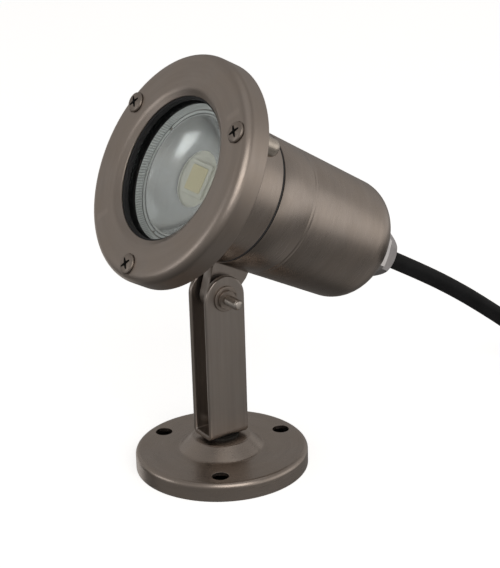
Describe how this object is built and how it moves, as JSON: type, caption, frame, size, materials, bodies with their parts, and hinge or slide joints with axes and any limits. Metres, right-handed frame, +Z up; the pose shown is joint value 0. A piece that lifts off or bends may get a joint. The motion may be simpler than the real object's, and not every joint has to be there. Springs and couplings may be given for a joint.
{
  "type": "underwater pond light",
  "caption": "Submersible stainless spot lamp on a pan and tilt yoke with a round screw-down base, glass front and rubber power cable.",
  "frame": {"origin": "centre of the base's underside, on the surface it stands on", "axes": "+Z up, the lamp looks towards -Y and upwards, the tilt axis runs along X"},
  "size_m": [0.1195, 0.2927, 0.1629],
  "materials": {
    "stainless": "brushed, warm grey-brown",
    "stainless_bracket": "brushed lengthways",
    "fastener": "plain machined",
    "black_rubber": "matt, moulded",
    "clear_glass": "polished, tempered",
    "grey_ring": "silver-grey, fine ribs",
    "reflector_metal": "vacuum metallised, slightly satin",
    "ceramic_board": "white ceramic",
    "phosphor": "soft yellow silicone",
    "aluminium": "as cut",
    "circuit_board": "solder mask",
    "electronic_parts": "moulded cases",
    "lead_wire": "insulated wire",
    "gland_metal": "nickel plated, satin",
    "cable_rubber": "extruded, satin",
    "fibre": "dark fibre",
    "core_insulation": "coloured insulation"
  },
  "bodies": {
    "base": {"base_flange": "stainless", "pan_bolt": "fastener", "pan_friction_washer": "fibre", "pan_lock_washer": "fastener", "pan_nut": "fastener"},
    "yoke": {"yoke": "stainless_bracket", "tilt_bolt": "fastener", "tilt_washers": "fastener", "tilt_spring_washer": "fastener", "tilt_nut": "fastener", "lug_spacers": "fibre", "power_cable": "cable_rubber", "cable_coil": "cable_rubber", "cable_cores": "core_insulation", "cable_tie": "black_rubber"},
    "head": {"bezel": "stainless", "bezel_screws": "fastener", "lens_gasket": "black_rubber", "front_glass": "clear_glass", "trim_ring": "grey_ring", "reflector": "reflector_metal", "led_board": "aluminium", "led_chip": "ceramic_board", "led_phosphor": "phosphor", "heat_sink": "aluminium", "front_flange": "stainless", "front_sleeve": "stainless", "screw_bosses": "stainless", "body_seal": "black_rubber", "rear_can": "stainless", "tilt_lug": "stainless_bracket", "gland_body": "gland_metal", "gland_nut": "gland_metal", "gland_seal": "black_rubber", "gland_locknut": "gland_metal", "cable_entry": "cable_rubber", "driver_board": "circuit_board", "driver_components": "electronic_parts", "led_leads": "lead_wire"}
  },
  "joints": [
    {"name": "pan", "type": "hinge", "parent": "base", "child": "yoke", "pos_m": [0, 0, 0.0133], "axis": [0, 0, 1], "range_deg": [-180, 180]},
    {"name": "tilt", "type": "hinge", "parent": "yoke", "child": "head", "pos_m": [0, 0, 0.071], "axis": [-1, 0, 0], "range_deg": [-60, 35], "deforming": ["power_cable"]}
  ]
}
